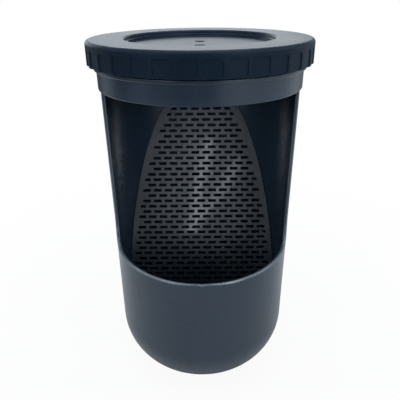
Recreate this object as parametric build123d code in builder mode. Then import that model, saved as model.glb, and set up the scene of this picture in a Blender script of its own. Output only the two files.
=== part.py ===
# Hanging insect feeder cup: a round cup cut open at the front, a slotted ramp
# leaning inside it and a ribbed screw lid with holes for a hanging cord.
#
# Millimetres, +Z up. The origin is the centre of the flat foot, and the open
# side of the cup faces -Y.

import os
from math import cos, floor, radians, sin, sqrt, tan

from build123d import *

os.makedirs("parts", exist_ok=True)

# Cup wall
wall = 1.8                  # thickness of the cup everywhere
foot_flat = 14.6            # radius of the flat the cup stands on
foot_round = 30.4           # radius of the round between the flat and the wall
draft = 0.62                # widening of the wall towards the mouth, in degrees

# Front opening, seen from the side
lip_height = 74.0           # lip of the bowl at the very front
lip_rise = 3.6              # slope of the lip towards the back, in degrees
opening_top = 156.4         # underside of the collar
opening_setback = 6.0       # cut edges stand this far in front of the axis
lower_corner = 13.0         # round between the lip and the upright cut edge
edge_bevel = 0.7            # softened edges of the cut

# Rings round the top of the cup
collar_height = 8.4
collar_step = 0.7           # how far the collar stands out of the wall
flange_height = 1.8
flange_step = 1.8           # how far the lid stop stands out of the wall
ring_bevel = 0.5            # softened edges of both rings
neck_height = 8.3           # plain stretch the lid screws over

# Screw lid
thread_space = 1.3          # room between the neck and the lid's bore
skirt_wall = 2.6
grip_depth = 0.5            # depth of the panels between the grip ribs
grip_ribs = 34
grip_rib_width = 1.8
grip_band = 2.2             # smooth band above the panels
panel_corner = 0.9          # cut off the upper corners of each panel
lid_gap = 0.6               # between the skirt and the cup's flange
plate = 2.4                 # thickness of the lid's top
lid_edge = 1.6              # round of the lid's outer top edge
recess_radius = 34.0
recess_ledge = 1.2          # width of the step inside the recess
recess_step = 1.5           # depth of that step
recess_depth = 2.9
recess_edge = 1.2           # round of the edge that leads into the recess
recess_round = 0.6          # rounds of the step's edge and of the recess's foot
cord_hole = 5.0             # diameter
cord_hole_spacing = 16.0    # front to back

# Climbing ramp
ramp_thickness = 1.6
ramp_lean = 18.25           # from upright, in degrees
ramp_foot = 5.8             # front face meets the floor this far before the axis
ramp_top = 143.0
ramp_clearance = 0.3
ramp_border = 1.9           # plain margin round the slots
ramp_plain_foot = 18.0      # plain stretch above the floor
slot_length = 4.5
slot_least = 2.0            # shortest slot left where the margin cuts one off
slot_height = 1.6
slot_pitch = 6.3
row_pitch = 3.1

# Heights that follow
flange_bottom = opening_top + collar_height
flange_top = flange_bottom + flange_height
mouth = flange_top + neck_height
skirt_bottom = flange_top + lid_gap
lid_top = mouth + plate

# Wall line: a quarter round and a straight tapered wall, tangent to each other
wall_slope = tan(radians(draft))


def wall_radius(height, inset=0.0):
    """Radius of the cup's wall at a height, measured inset from its outside."""
    bend = foot_round - inset
    if height < foot_round - bend * sin(radians(draft)):
        return foot_flat + sqrt(bend**2 - (foot_round - height) ** 2)
    start = foot_flat + bend * cos(radians(draft))
    return start + (height - foot_round + bend * sin(radians(draft))) * wall_slope


def half_section(inset, low, high):
    """Outline from the axis to the wall line set in by inset, from low to high."""
    with BuildLine() as outline:
        quarter = JernArc((foot_flat, inset), (1, 0), foot_round - inset, 90 - draft)
        Line(quarter @ 1, (wall_radius(high, inset), high))
        Line((wall_radius(high, inset), high), (0, high))
        Line((0, high), (0, low))
        Line((0, low), (foot_flat, low))
        if low < inset:
            Line((foot_flat, low), (foot_flat, inset))
    return outline.line


# Cup
neck_radius = wall_radius(mouth)
collar_low_radius = wall_radius(opening_top) + collar_step
collar_high_radius = wall_radius(flange_bottom) + collar_step
flange_radius = wall_radius(flange_bottom) + flange_step

with BuildPart() as feeder_cup:
    with BuildSketch(Plane.XZ):
        make_face(half_section(0, 0, mouth))
    revolve(axis=Axis.Z)

    # Collar and lid stop, turned round the wall
    with BuildSketch(Plane.XZ) as rings:
        with BuildLine():
            Polyline(
                (foot_flat, opening_top),
                (collar_low_radius, opening_top),
                (collar_high_radius, flange_bottom),
                (flange_radius, flange_bottom),
                (flange_radius, flange_top),
                (foot_flat, flange_top),
                close=True,
            )
        make_face()
        chamfer(rings.vertices().group_by(Axis.Y)[0].sort_by(Axis.X)[-1], ring_bevel)
        chamfer(rings.vertices().group_by(Axis.X)[-1], ring_bevel)
    revolve(axis=Axis.Z)

    # Inside of the bowl, open at the mouth
    with BuildSketch(Plane.XZ):
        make_face(half_section(wall, wall, mouth))
    revolve(axis=Axis.Z, mode=Mode.SUBTRACT)

    # Front opening, cut straight across from side to side
    front = -2 * neck_radius
    lip_rear = lip_height + (wall_radius(lip_height) - opening_setback) * tan(radians(lip_rise))
    lip_front = lip_height + (wall_radius(lip_height) + front) * tan(radians(lip_rise))
    with BuildSketch(Plane.YZ) as side_view:
        with BuildLine():
            Polyline(
                (front, lip_front),
                (-opening_setback, lip_rear),
                (-opening_setback, opening_top),
                (front, opening_top),
                close=True,
            )
        make_face()
        fillet(side_view.vertices().group_by(Axis.X)[-1].sort_by(Axis.Y)[0], lower_corner)
    extrude(amount=2 * neck_radius, both=True, mode=Mode.SUBTRACT)

    # Soften both edges of the lip and of the upright cuts, up to the collar
    cut_edges = feeder_cup.edges(Select.LAST).filter_by(GeomType.LINE, reverse=True)
    cut_edges = [edge for edge in cut_edges if edge.center().Z < opening_top - edge_bevel]
    chamfer(cut_edges, edge_bevel)

# Lid
bore_radius = neck_radius + thread_space
panel_radius = bore_radius + skirt_wall
rib_radius = panel_radius + grip_depth
recess_floor = lid_top - recess_depth

with BuildPart() as screw_lid:
    with BuildSketch(Plane.XZ) as section:
        with BuildLine():
            Polyline(
                (0, recess_floor),
                (recess_radius - recess_ledge, recess_floor),
                (recess_radius - recess_ledge, lid_top - recess_step),
                (recess_radius, lid_top - recess_step),
                (recess_radius, lid_top),
                (rib_radius, lid_top),
                (rib_radius, skirt_bottom),
                (bore_radius, skirt_bottom),
                (bore_radius, mouth),
                (recess_radius + plate, mouth),
                (recess_radius + plate, recess_floor - plate),
                (0, recess_floor - plate),
                close=True,
            )
        make_face()
        fillet(section.vertices().group_by(Axis.Y)[-1].sort_by(Axis.X)[-1], lid_edge)
        fillet(section.vertices().group_by(Axis.Y)[-1].sort_by(Axis.X)[0], recess_edge)
        fillet(section.vertices().group_by(Axis.X)[1], recess_round)
    revolve(axis=Axis.Z)

    # Panels between the grip ribs, open at the foot of the skirt
    panel_top = lid_top - grip_band - lid_edge / 2
    panel_width = 2 * panel_radius * sin(radians(180 / grip_ribs)) - grip_rib_width
    panel_plane = Plane(origin=(0, -panel_radius, skirt_bottom), x_dir=(1, 0, 0), z_dir=(0, -1, 0))
    with BuildSketch(panel_plane, mode=Mode.PRIVATE) as panel:
        Rectangle(panel_width, panel_top - skirt_bottom, align=(Align.CENTER, Align.MIN))
        chamfer(panel.vertices().group_by(Axis.Z)[-1], panel_corner)
    panel_cut = extrude(panel.sketch, amount=2 * grip_depth, mode=Mode.PRIVATE)
    with PolarLocations(0, grip_ribs, start_angle=180 / grip_ribs):
        add(panel_cut, mode=Mode.SUBTRACT)

    # Holes for the hanging cord
    with BuildSketch(Plane.XY.offset(recess_floor)):
        with GridLocations(0, cord_hole_spacing, 1, 2):
            Circle(cord_hole / 2)
    extrude(amount=-plate, mode=Mode.SUBTRACT)

# Ramp
ramp_plane = Plane(
    origin=(0, -ramp_foot, wall),
    x_dir=(1, 0, 0),
    z_dir=(0, -cos(radians(ramp_lean)), sin(radians(ramp_lean))),
)
ramp_length = (ramp_top - wall) / cos(radians(ramp_lean))


def ramp_half_width(along):
    """Half the ramp's width at a distance up its slope from the floor."""
    height = wall + along * cos(radians(ramp_lean))
    back = abs(along * sin(radians(ramp_lean)) - ramp_foot) + ramp_thickness
    reach = wall_radius(height, wall + ramp_clearance)
    return sqrt(max(reach**2 - back**2, 0))


def slot_places():
    """Centres of the slots, row by row, each second row set off by half a pitch."""
    rows = floor((ramp_length - ramp_plain_foot - ramp_border) / row_pitch)
    for row in range(rows):
        along = ramp_plain_foot + (row + 0.5) * row_pitch
        room = ramp_half_width(along) - ramp_border + slot_length / 2 - slot_least
        offset = slot_pitch / 2 * (row % 2)
        steps = floor((room - offset) / slot_pitch)
        for step in range(steps + 1):
            across = offset + step * slot_pitch
            yield across, along
            if across > 0:
                yield -across, along


def margin_corners(points=16):
    """Corners of the slotted field, which keeps a margin along the ramp's edges."""
    high = ramp_length - ramp_border
    steps = [ramp_plain_foot + (high - ramp_plain_foot) * step / points for step in range(points + 1)]
    right = [(ramp_half_width(along) - ramp_border, along) for along in steps]
    return right + [(-across, along) for across, along in reversed(right)]


with BuildPart() as climbing_ramp:
    with BuildSketch(mode=Mode.PRIVATE) as slots:
        with Locations(*slot_places()):
            Rectangle(slot_length, slot_height)
        with BuildLine():
            Polyline(*margin_corners(), close=True)
        make_face(mode=Mode.INTERSECT)
    with BuildSketch(ramp_plane):
        Rectangle(2 * neck_radius, ramp_length, align=(Align.CENTER, Align.MIN))
        add(slots.sketch, mode=Mode.SUBTRACT)
    extrude(amount=-ramp_thickness)
    with BuildSketch(Plane.XZ):
        make_face(half_section(wall + ramp_clearance, wall, ramp_top))
    revolve(axis=Axis.Z, mode=Mode.INTERSECT)

for piece, name in (
    (feeder_cup, "feeder_cup"),
    (screw_lid, "screw_lid"),
    (climbing_ramp, "climbing_ramp"),
):
    piece.part.label = name
    export_step(piece.part, f"parts/{name}.step")

print(f"lid diameter {2 * rib_radius:.1f}, height {lid_top:.1f}, mouth {mouth:.1f}")
print(f"slots {len(list(slot_places()))}")
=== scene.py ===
import math

import bmesh
import bpy
from mathutils import Euler, Matrix, Vector


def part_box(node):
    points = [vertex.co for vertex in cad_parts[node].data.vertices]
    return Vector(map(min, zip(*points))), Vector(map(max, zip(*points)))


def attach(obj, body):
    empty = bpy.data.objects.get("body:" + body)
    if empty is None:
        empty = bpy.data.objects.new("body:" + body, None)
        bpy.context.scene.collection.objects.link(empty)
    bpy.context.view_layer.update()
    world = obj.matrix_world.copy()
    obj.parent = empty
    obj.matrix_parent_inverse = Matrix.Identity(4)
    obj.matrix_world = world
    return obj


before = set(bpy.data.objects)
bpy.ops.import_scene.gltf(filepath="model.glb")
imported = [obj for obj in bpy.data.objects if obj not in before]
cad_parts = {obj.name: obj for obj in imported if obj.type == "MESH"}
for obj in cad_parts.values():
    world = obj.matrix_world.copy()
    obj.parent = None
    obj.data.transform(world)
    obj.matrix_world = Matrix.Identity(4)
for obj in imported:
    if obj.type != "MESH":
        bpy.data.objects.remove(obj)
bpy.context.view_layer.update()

# The feeder cup is one injection moulding in dark blue-grey plastic, satin
# outside and inside. It stands on the small flat of its rounded foot, and its
# collar, lid stop and neck are moulded in one piece with it.


class Tone:
    """A number that changes over a surface. Sums and products add Math nodes."""

    def __init__(self, finish, socket):
        self.finish = finish
        self.socket = socket

    def math(self, operation, *values):
        node = self.finish.add("ShaderNodeMath", {"operation": operation}, dict(enumerate(values)))
        return Tone(self.finish, node.outputs[0])

    def __add__(self, other):
        return self.math("ADD", self, other)

    def __sub__(self, other):
        return self.math("SUBTRACT", self, other)

    def __rsub__(self, other):
        return self.math("SUBTRACT", other, self)

    def __mul__(self, other):
        return self.math("MULTIPLY", self, other)

    __radd__ = __add__
    __rmul__ = __mul__

    def smooth_step(self, low, high):
        """0 below low, 1 above high, and a smooth rise between them."""
        settings = {"interpolation_type": "SMOOTHSTEP"}
        sockets = {"Value": self, "From Min": low, "From Max": high}
        node = self.finish.add("ShaderNodeMapRange", settings, sockets)
        return Tone(self.finish, node.outputs["Result"])


class Finish:
    """The nodes of one material, or of the room."""

    def __init__(self, owner):
        owner.use_nodes = True
        self.owner = owner
        self.tree = owner.node_tree
        self.colour = None

    def feed(self, socket, value):
        if isinstance(value, Tone):
            value = value.socket
        if isinstance(value, bpy.types.NodeSocket):
            self.tree.links.new(value, socket)
        else:
            socket.default_value = value

    def add(self, kind, settings, sockets):
        """A node with its settings, which may be a ramp's stops, and its sockets fed."""
        node = self.tree.nodes.new(kind)
        for key, value in settings.items():
            if key == "stops":
                self.lay_stops(node.color_ramp, value)
            else:
                setattr(node, key, value)
        for key, value in sockets.items():
            self.feed(node.inputs[key], value)
        return node

    def lay_stops(self, ramp, stops):
        """Grey stops on a ramp, each a place from 0 to 1 and a brightness."""
        ramp.interpolation = "EASE"
        ramp.elements.remove(ramp.elements[-1])
        for number, (place, brightness) in enumerate(stops):
            stop = ramp.elements[0] if number == 0 else ramp.elements.new(place)
            stop.position = place
            stop.color = (brightness, brightness, brightness, 1.0)

    def place(self, kind="Object"):
        return self.add("ShaderNodeTexCoord", {}, {}).outputs[kind]

    def part_of(self, vector, axis):
        node = self.add("ShaderNodeSeparateXYZ", {}, {"Vector": vector})
        return Tone(self, node.outputs[axis])

    def stretched(self, vector, scale):
        sockets = {0: vector, 1: scale}
        return self.add("ShaderNodeVectorMath", {"operation": "MULTIPLY"}, sockets).outputs[0]

    def length_of(self, vector):
        node = self.add("ShaderNodeVectorMath", {"operation": "LENGTH"}, {0: vector})
        return Tone(self, node.outputs["Value"])

    def noise(self, vector, scale, detail=2.0, roughness=0.5):
        sockets = {"Vector": vector, "Scale": scale, "Detail": detail, "Roughness": roughness}
        return Tone(self, self.add("ShaderNodeTexNoise", {}, sockets).outputs["Fac"])

    def blend(self, share, first, second):
        """A colour between two, through the colour sockets of a Mix node."""
        sockets = {0: share, 6: first, 7: second}
        return self.add("ShaderNodeMix", {"data_type": "RGBA"}, sockets).outputs[2]

    def mix(self, share, first, second):
        """A shader between two."""
        return self.add("ShaderNodeMixShader", {}, {0: share, 1: first, 2: second}).outputs[0]

    def glow(self, kind, colour):
        return self.add(kind, {}, {"Color": colour}).outputs[0]

    def set(self, **sockets):
        shader = self.tree.nodes["Principled BSDF"]
        for name, value in sockets.items():
            self.feed(shader.inputs[name.replace("_", " ")], value)

    def bumped(self, height, distance, under=None):
        sockets = {"Height": height, "Distance": distance, "Strength": 1.0}
        if under is not None:
            sockets["Normal"] = under
        return self.add("ShaderNodeBump", {}, sockets).outputs["Normal"]


# noise scales, to the metre
streak_scale = 55.0
cloud_scale = 24.0
wave_scale = 38.0
dust_scale = 900.0

# shares and ranges of the noises
streak_stretch = (1.0, 1.0, 0.25)
streak_share, cloud_share = 0.6, 0.4
mottling_range = (0.35, 0.68)
dust_range = (0.72, 0.80)
relief_of_streaks = 0.4
mean_cloud = 0.6

# how far each changes the roughness
cloud_dulling = 0.10
grain_dulling = 0.05
dust_dulling = 0.03

bevel_samples = 6
plastic_ior = 1.5


def moulded_plastic(name, dark, light, gloss, mirror, grain, grain_size, warp, edge):
    """Satin moulded plastic: faint flow marks, a fine grain and a little dust."""
    finish = Finish(bpy.data.materials.new(name))
    where = finish.place()
    streaks = finish.noise(finish.stretched(where, streak_stretch), streak_scale, 4.0, 0.6)
    clouds = finish.noise(where, cloud_scale, 3.0, 0.55)
    fine = finish.noise(where, 1 / grain_size)
    dust = finish.noise(where, dust_scale, 0.0).smooth_step(*dust_range)
    waves = finish.noise(where, wave_scale, 1.0)
    soft_edges = None
    if edge > 0:
        bevel = finish.add("ShaderNodeBevel", {"samples": bevel_samples}, {"Radius": edge})
        soft_edges = bevel.outputs["Normal"]
    mottling = streaks * streak_share + clouds * cloud_share
    finish.colour = finish.blend(mottling.smooth_step(*mottling_range), dark, light)
    relief = fine + streaks * relief_of_streaks
    dulling = (clouds - mean_cloud) * cloud_dulling + fine * grain_dulling + dust * dust_dulling
    finish.set(
        Base_Color=finish.colour,
        Roughness=gloss + dulling,
        IOR=plastic_ior,
        Specular_IOR_Level=mirror,
        Normal=finish.bumped(relief, grain, finish.bumped(waves, warp, soft_edges)),
    )
    return finish


cup_plastic = moulded_plastic(
    "cup_plastic",
    dark=(0.0075, 0.0170, 0.0310, 1.0),
    light=(0.0095, 0.0205, 0.0370, 1.0),
    gloss=0.27,
    mirror=0.45,
    grain=0.000012,
    grain_size=0.0009,
    warp=0.0,
    edge=0.0,
)
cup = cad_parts["feeder_cup"]
cup.data.materials.clear()
cup.data.materials.append(cup_plastic.owner)

# The collar and the lid stop have rounded outer edges, moulded in one piece
# with the cup. Each round is a ring that is tangent to both faces it joins.

wall = 0.0018
foot_flat = 0.0146
foot_round = 0.0304
draft = math.radians(0.62)
edge_round = 0.0005
collar_foot = 0.1564
collar_step = 0.0007
stop_foot = 0.1648
stop_top = 0.1666
ring_corners = 256
section_corners = 16
upwards = Vector((0.0, 0.0, 1.0))


def wall_radius(level):
    """Radius of the cup's outside at a level on its straight, tapered wall."""
    foot_radius = foot_flat + foot_round * math.cos(draft)
    return foot_radius + (level - foot_round * (1 - math.sin(draft))) * math.tan(draft)


def round_section(mesh, middle, outward, across, radius):
    """Corners of a round section about its middle."""
    row = []
    for corner in range(section_corners):
        turn = 2 * math.pi * corner / section_corners
        reach = outward * math.cos(turn) + across * math.sin(turn)
        row.append(mesh.verts.new(middle + reach * radius))
    return row


def skin(mesh, rows, endless=False):
    """Faces between closed rows of corners, with an end face at each end if it has ends."""
    following_rows = rows[1:] + rows[:1] if endless else rows[1:]
    for row, following in zip(rows, following_rows):
        for corner in range(len(row)):
            after = (corner + 1) % len(row)
            mesh.faces.new((row[corner], row[after], following[after], following[corner]))
    if not endless:
        mesh.faces.new(reversed(rows[0]))
        mesh.faces.new(rows[-1])


def edge_ring(mesh, radius, level):
    """A ring of round section, radius and level being those of its middle."""
    rows = []
    for corner in range(ring_corners):
        angle = 2 * math.pi * corner / ring_corners
        outward = Vector((math.cos(angle), math.sin(angle), 0.0))
        rows.append(round_section(mesh, outward * radius + upwards * level, outward, upwards, edge_round))
    skin(mesh, rows, endless=True)


def trim(name, mesh, plastic):
    """An object made of a finished mesh, in the plastic it is moulded in."""
    bmesh.ops.recalc_face_normals(mesh, faces=mesh.faces)
    data = bpy.data.meshes.new(name)
    mesh.to_mesh(data)
    mesh.free()
    data.shade_smooth()
    data.materials.append(plastic.owner)
    piece = bpy.data.objects.new(name, data)
    bpy.context.scene.collection.objects.link(piece)
    return piece


collar_radius = wall_radius(collar_foot) + collar_step
stop_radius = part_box("feeder_cup")[1][0]
ring_mesh = bmesh.new()
edge_ring(ring_mesh, collar_radius - edge_round, collar_foot + edge_round)
edge_ring(ring_mesh, stop_radius - edge_round, stop_foot + edge_round)
edge_ring(ring_mesh, stop_radius - edge_round, stop_top - edge_round)
collar_edges = trim("collar_edges", ring_mesh, cup_plastic)
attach(collar_edges, "cup")

# The lip of the bowl and the upright edges of the opening are fully rounded
# in the moulding. Their plastic is a little smoother and is painted paler than
# the cup, a painted highlight along the lip. The round follows the cut on both
# sides, from the collar down to the front.

# painted highlight: the pale colours below stand in for the light along the lip
lip_painted_highlight = moulded_plastic(
    "lip_painted_highlight",
    dark=(0.050, 0.066, 0.082, 1.0),
    light=(0.075, 0.092, 0.108, 1.0),
    gloss=0.24,
    mirror=0.7,
    grain=0.000006,
    grain_size=0.0009,
    warp=0.0,
    edge=0.0,
)
lip_height = 0.074
lip_rise = math.radians(3.6)
lower_corner = 0.013
opening_setback = 0.006
lip_round = 0.00091
straight_steps = 40
corner_steps = 24


def cut_line():
    """Middle of the opening's round, seen from the side, as pairs of y and z."""
    front = -wall_radius(lip_height)
    corner_y = -opening_setback - lower_corner
    climb = (corner_y - front) * math.tan(lip_rise)
    corner_z = lip_height + climb + lower_corner / math.cos(lip_rise)
    reach = lower_corner + wall / 2
    start = front + wall / 2
    end = corner_y + reach * math.sin(lip_rise)
    points = []
    for step in range(straight_steps + 1):
        y = start + (end - start) * step / straight_steps
        z = lip_height + (y - front) * math.tan(lip_rise) - wall / 2 / math.cos(lip_rise)
        points.append((y, z))
    for step in range(1, corner_steps + 1):
        turn = (lip_rise - math.pi / 2) * (1 - step / corner_steps)
        points.append((corner_y + reach * math.cos(turn), corner_z + reach * math.sin(turn)))
    upright, low = points[-1]
    high = collar_foot + edge_round
    for step in range(1, straight_steps + 1):
        points.append((upright, low + (high - low) * step / straight_steps))
    return points


def opening_edge():
    """The cut line in the middle of the wall, from the left of the collar to the right."""
    right = []
    for y, z in cut_line():
        x_squared = (wall_radius(z) - wall / 2) ** 2 - y**2
        right.append(Vector((math.sqrt(max(x_squared, 0.0)), y, z)))
    left = [Vector((-point.x, point.y, point.z)) for point in reversed(right[1:])]
    return left + right


lip_mesh = bmesh.new()
lip_line = opening_edge()
lip_rows = []
for index, point in enumerate(lip_line):
    before, after = lip_line[max(index - 1, 0)], lip_line[min(index + 1, len(lip_line) - 1)]
    ahead = (after - before).normalized()
    outward = Vector((point.x, point.y, 0.0)).normalized()
    outward = (outward - ahead * outward.dot(ahead)).normalized()
    lip_rows.append(round_section(lip_mesh, point, outward, ahead.cross(outward), lip_round))
skin(lip_mesh, lip_rows)
lip_edge = trim("lip_edge", lip_mesh, lip_painted_highlight)
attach(lip_edge, "cup")

# The neck thread is a single raised ridge, a little over one turn, moulded on
# the cup's neck in the same plastic. It fades into the neck at both ends.

thread_pitch = 0.0032
thread_turns = 1.25
thread_height = 0.0013
thread_crest = 0.00055
thread_sunk = 0.35          # share of the crest that lies under the surface
thread_fade = 0.35          # angle over which an end fades out
thread_steps = 225
ridge_corners = 8
ridge_bluntness = 0.7
end_height = 0.3            # share of the ridge's height that is left at its ends
neck_radius = 0.0465
neck_thread_start = 0.1684
neck_thread_angle = 0.4


def helical_thread(root, crest, start, begin_angle):
    """Mesh of a rounded ridge wound on a cylinder of radius root."""
    mesh = bmesh.new()
    whole = thread_turns * 2 * math.pi
    rows = []
    for step in range(thread_steps + 1):
        share = step / thread_steps
        angle = begin_angle + share * whole
        end_share = min(1.0, min(share, 1 - share) * whole / thread_fade)
        fade = math.sin(end_share * math.pi / 2)
        middle = start + share * thread_turns * thread_pitch
        row = []
        for corner in range(ridge_corners + 1):
            turn = math.pi * corner / ridge_corners
            swell = math.sin(turn) ** ridge_bluntness if 0 < corner < ridge_corners else 0.0
            radius = root + (swell * (1 + thread_sunk) - thread_sunk) * crest * fade
            height = thread_height * (end_height + (1 - end_height) * fade)
            level = middle - math.cos(turn) * height / 2
            row.append(mesh.verts.new((radius * math.cos(angle), radius * math.sin(angle), level)))
        rows.append(row)
    skin(mesh, rows)
    return mesh


neck_ridge = helical_thread(neck_radius, thread_crest, neck_thread_start, neck_thread_angle)
neck_thread = trim("neck_thread", neck_ridge, cup_plastic)
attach(neck_thread, "cup")

# The climbing ramp is a flat slotted plate in a greyer plastic, a little wavy
# from its moulding, with painted shade that darkens it towards its foot, low in
# the bowl. It is pushed down into the cup, stands on the floor and leans on the
# back wall.

ramp_plastic = moulded_plastic(
    "ramp_plastic",
    dark=(0.078, 0.084, 0.095, 1.0),
    light=(0.102, 0.109, 0.121, 1.0),
    gloss=0.075,
    mirror=0.5,
    grain=0.000003,
    grain_size=0.0007,
    warp=0.00007,
    edge=0.0003,
)
# painted shade: the ramp turns dark navy towards its foot, low in the bowl where shade falls
painted_shade_colour = (0.012, 0.019, 0.030, 1.0)
shade_low_level = 0.040
shade_high_level = 0.090
shade_noise_scale = 60.0
shade_unevenness = 0.012

ramp_place = ramp_plastic.place()
uneven_shade = ramp_plastic.noise(ramp_place, shade_noise_scale) * shade_unevenness
unshaded = (ramp_plastic.part_of(ramp_place, "Z") + uneven_shade).smooth_step(shade_low_level, shade_high_level)
# the painted shade is blended over the ramp's own colour below the shade levels
ramp_plastic.set(Base_Color=ramp_plastic.blend(unshaded, painted_shade_colour, ramp_plastic.colour))
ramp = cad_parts["climbing_ramp"]
ramp.data.materials.clear()
ramp.data.materials.append(ramp_plastic.owner)

# The screw lid is a separate moulding in a darker, almost black navy plastic,
# with a round recess in its matt top and grip ribs round its skirt.

lid_plastic = moulded_plastic(
    "lid_plastic",
    dark=(0.0022, 0.0075, 0.0165, 1.0),
    light=(0.0034, 0.0100, 0.0210, 1.0),
    gloss=0.44,
    mirror=0.09,
    grain=0.000016,
    grain_size=0.0006,
    warp=0.0,
    edge=0.0005,
)
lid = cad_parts["screw_lid"]
lid.data.materials.clear()
lid.data.materials.append(lid_plastic.owner)

# The lid thread is the matching ridge inside the skirt. It passes the neck
# thread with a little play, so that the lid also lifts off in a straight line.

lid_bore = 0.0479
lid_thread_start = 0.1700
lid_thread_angle = 1.6

lid_ridge = helical_thread(lid_bore, -thread_crest, lid_thread_start, lid_thread_angle)
lid_thread = trim("lid_thread", lid_ridge, lid_plastic)
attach(lid_thread, "lid")

# The floor is a plain white studio sweep. It shows almost pure white, with a
# trace of the cup's soft shadow. Reflections see it white near the cup, and
# farther out only as bright as the panels of the studio make it.

white = (1.0, 1.0, 1.0, 1.0)
black = (0.0, 0.0, 0.0, 1.0)
cool_white = (0.86, 0.94, 1.0, 1.0)

# bearing from the front, in degrees towards the right, and brightness
panels = (
    (-180, 0.80),
    (-143, 0.05),
    (-117, 0.60),
    (-90, 0.10),
    (-63, 0.50),
    (-40, 0.10),
    (10, 0.00),
    (26, 1.00),
    (100, 0.90),
    (120, 1.00),
    (143, 0.30),
    (180, 0.80),
)


def panel_glow(finish, direction):
    """How bright the studio's panels are in a direction from the cup."""
    across, away = finish.part_of(direction, "X"), finish.part_of(direction, "Y")
    turn = across.math("ARCTAN2", across, away * -1) * (0.5 / math.pi) + 0.5
    stops = [(bearing / 360 + 0.5, brightness) for bearing, brightness in panels]
    ramp = finish.add("ShaderNodeValToRGB", {"stops": stops}, {"Fac": turn})
    return Tone(finish, ramp.outputs["Color"])


floor_reach = 30.0
floor_level = -0.0002
floor_grey = (0.50, 0.50, 0.50, 1.0)
floor_roughness = 0.9
shadow_trace = 0.07

# distances from the cup over which the floor changes
shadow_fades = (0.08, 0.35)
reflection_whitens = (0.05, 0.20)
panels_begin = (0.30, 0.60)

corners = []
for x, y in ((-1, -1), (1, -1), (1, 1), (-1, 1)):
    corners.append((x * floor_reach, y * floor_reach, floor_level))
floor_mesh = bpy.data.meshes.new("floor")
floor_mesh.from_pydata(corners, [], [(0, 1, 2, 3)])
floor = bpy.data.objects.new("floor", floor_mesh)
bpy.context.scene.collection.objects.link(floor)

floor_paint = Finish(bpy.data.materials.new("studio_floor"))
floor_paint.set(Base_Color=floor_grey, Roughness=floor_roughness)
floor_place = floor_paint.place()
from_cup = floor_paint.length_of(floor_place)
lit = floor_paint.tree.nodes["Principled BSDF"].outputs[0]
white_floor = floor_paint.glow("ShaderNodeEmission", white)
black_floor = floor_paint.glow("ShaderNodeEmission", black)
cool_floor = floor_paint.glow("ShaderNodeEmission", cool_white)

ray = floor_paint.add("ShaderNodeLightPath", {}, {}).outputs
mirrored = Tone(floor_paint, ray["Is Glossy Ray"]) + Tone(floor_paint, ray["Is Transmission Ray"])
near = floor_paint.mix(from_cup.smooth_step(*reflection_whitens), lit, cool_floor)
panelled = floor_paint.mix(panel_glow(floor_paint, floor_place), black_floor, cool_floor)
reflected = floor_paint.mix(from_cup.smooth_step(*panels_begin), near, panelled)
shadow = (1 - from_cup.smooth_step(*shadow_fades)) * shadow_trace
seen_white = Tone(floor_paint, ray["Is Camera Ray"]) * (1 - shadow)
in_view = floor_paint.mix(seen_white, lit, white_floor)
floor_surface = floor_paint.tree.nodes["Material Output"].inputs["Surface"]
floor_paint.feed(floor_surface, floor_paint.mix(mirrored, in_view, reflected))
floor_mesh.materials.append(floor_paint.owner)

# The room is a white studio with a dim front. It shows pure white behind the
# cup, the gloss of the plastic sees the same white, and only a faint cool
# part of it lights the cup.

dim_colour = (0.86, 0.92, 1.0, 1.0)
dim_strength = 0.24
back_begins = (0.60, 0.95)

studio = bpy.data.worlds.new("studio")
bpy.context.scene.world = studio
room = Finish(studio)
dim = room.tree.nodes["Background"]
room.feed(dim.inputs["Color"], dim_colour)
room.feed(dim.inputs["Strength"], dim_strength)
white_room = room.glow("ShaderNodeBackground", white)
black_room = room.glow("ShaderNodeBackground", black)
cool_room = room.glow("ShaderNodeBackground", cool_white)

ray = room.add("ShaderNodeLightPath", {}, {}).outputs
mirrored = Tone(room, ray["Is Glossy Ray"]) + Tone(room, ray["Is Transmission Ray"])
towards = room.place("Generated")
behind = room.part_of(towards, "Y").smooth_step(*back_begins)
panelled = room.mix(panel_glow(room, towards), black_room, cool_room)
lighting = room.mix(mirrored, dim.outputs[0], room.mix(behind, panelled, cool_room))
room_surface = room.tree.nodes["World Output"].inputs["Surface"]
room.feed(room_surface, room.mix(ray["Is Camera Ray"], lighting, white_room))

# The lamps are softboxes overhead, at the sides and low behind, for the sheen
# of the lid's top. A long one high in front draws the line of the lip, two
# lower ones shine into the bowl, and the ramp reflects the narrow strips.

lamp_colour = (0.90, 0.96, 1.0)


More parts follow.
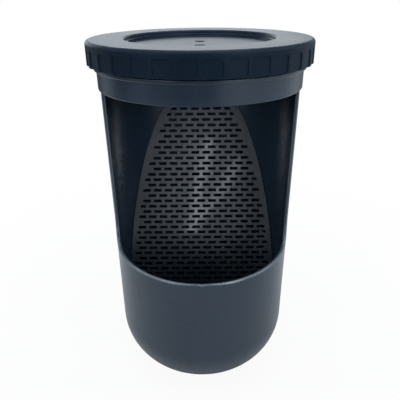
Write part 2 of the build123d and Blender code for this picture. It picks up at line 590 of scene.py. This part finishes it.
def softbox(name, place, width, height, watts, along=(0, 0, 1), target=(0, 0, 0.10)):
    """A rectangular lamp that faces its target, its height lying along a direction."""
    data = bpy.data.lights.new(name, "AREA")
    data.shape = "RECTANGLE"
    data.size = width
    data.size_y = height
    data.energy = watts
    data.color = lamp_colour
    lamp = bpy.data.objects.new(name, data)
    back = (Vector(place) - Vector(target)).normalized()
    side = Vector(along).cross(back).normalized()
    axes = Matrix((side, back.cross(side), back)).transposed().to_4x4()
    lamp.matrix_world = Matrix.Translation(place) @ axes
    lamp.visible_camera = False
    bpy.context.scene.collection.objects.link(lamp)


softbox("softbox_top", (0.0, 0.10, 1.20), 1.2, 0.6, 10.0, along=(0, 1, 0))
softbox("softbox_lip", (0.0, -0.42, 1.21), 1.5, 0.10, 7.5)
softbox("softbox_left", (-0.68, -0.90, 0.46), 0.35, 0.35, 3.8)
softbox("softbox_right", (0.65, -0.90, 0.46), 0.35, 0.35, 4.4)
softbox("softbox_side_left", (-1.10, -0.10, 0.72), 0.6, 0.3, 3.0)
softbox("softbox_side_right", (1.10, -0.10, 0.72), 0.6, 0.3, 2.6)
softbox("softbox_back", (-0.40, 1.45, 0.48), 1.8, 0.7, 11.0)
softbox("strip_long", (-0.020, -0.965, 0.225), 0.022, 0.46, 0.15, along=(0.045, 0.05, 0.235))
softbox("strip_short", (0.050, -0.931, 0.300), 0.016, 0.20, 0.04, along=(0.060, 0.026, 0.088))

# The camera stands 2 cm above the lid and 21 cm in front of the middle of the
# cup, and looks down into the open bowl.

lens_pixels = 448.9
photo_width = 400.0
sensor = 36.0
nearest = 0.01
camera_place = (0.0, -0.2144, 0.1972)
look_down = 0.442
turn_left = 0.003
tilt = -0.010

camera_data = bpy.data.cameras.new("camera")
camera_data.sensor_width = sensor
camera_data.lens = lens_pixels * sensor / photo_width
camera_data.clip_start = nearest
camera = bpy.data.objects.new("camera", camera_data)
camera.matrix_world = (
    Matrix.Translation(camera_place)
    @ Euler((math.pi / 2 - look_down, 0.0, turn_left)).to_matrix().to_4x4()
    @ Matrix.Rotation(tilt, 4, "Z")
)
bpy.context.scene.collection.objects.link(camera)
bpy.context.scene.camera = camera
bpy.context.scene.view_settings.view_transform = "Standard"
